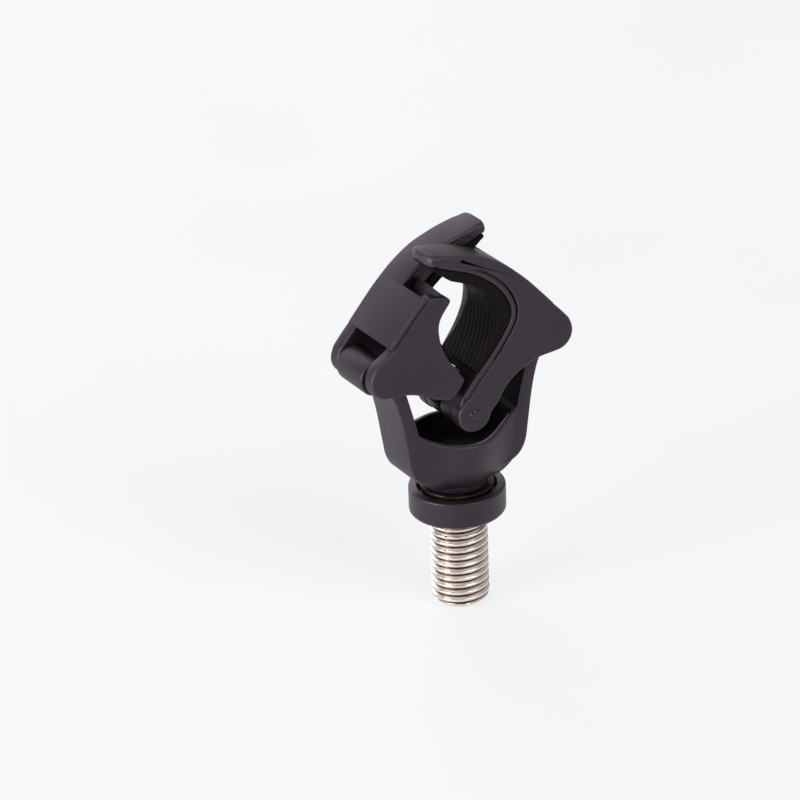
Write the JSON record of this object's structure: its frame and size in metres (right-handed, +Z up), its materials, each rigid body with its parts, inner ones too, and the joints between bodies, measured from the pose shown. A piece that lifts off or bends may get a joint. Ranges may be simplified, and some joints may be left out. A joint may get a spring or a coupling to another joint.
{
  "type": "self-closing rod clamp",
  "caption": "Self-closing rod clamp: two hooked, padded jaws cross like scissors in a forked yoke on a threaded stud with a lock ring.",
  "frame": {"origin": "stud axis at the underside of the lock ring, where the clamp seats on its holder", "axes": "+Z up along the stud's axis towards the jaws, hinge pins along Y, front of the clamp towards -Y"},
  "size_m": [0.0378, 0.0156, 0.0642],
  "materials": {
    "black_nylon": "moulded satin black nylon with a fine grain",
    "satin_nylon": "turned satin black nylon",
    "stainless": "rolled stainless thread",
    "dark_washer": "black nylon washer",
    "pad_rubber": "ribbed soft rubber",
    "pin_steel": "blackened steel"
  },
  "bodies": {
    "yoke": {"yoke": "black_nylon", "stud": "stainless", "washer": "dark_washer", "left_hinge_pin": "pin_steel", "right_hinge_pin": "pin_steel"},
    "link": {"link_pin": "pin_steel"},
    "left_jaw": {"left_jaw": "black_nylon", "left_pad": "pad_rubber"},
    "right_jaw": {"right_jaw": "black_nylon", "right_pad": "pad_rubber"},
    "lock_ring": {"lock_ring": "satin_nylon"}
  },
  "joints": [
    {"name": "link_rise", "type": "slide", "parent": "yoke", "child": "link", "axis": [0, 0, 1], "range_m": [0, 0.01165]},
    {"name": "left_jaw_swing", "type": "hinge", "parent": "link", "child": "left_jaw", "pos_m": [0, 0, 0.0193], "axis": [0, -1, 0], "range_deg": [0, 38]},
    {"name": "right_jaw_swing", "type": "hinge", "parent": "link", "child": "right_jaw", "pos_m": [0, 0, 0.0193], "axis": [0, 1, 0], "range_deg": [0, 38]},
    {"name": "lock_ring_turn", "type": "hinge", "parent": "yoke", "child": "lock_ring", "pos_m": [0, 0, 0.002], "axis": [0, 0, 1], "continuous": true}
  ],
  "couplings": [
    {"joint": "link_rise", "follows": "left_jaw_swing", "m_per_rad": 0.017491},
    {"joint": "right_jaw_swing", "follows": "left_jaw_swing", "ratio": 1}
  ]
}
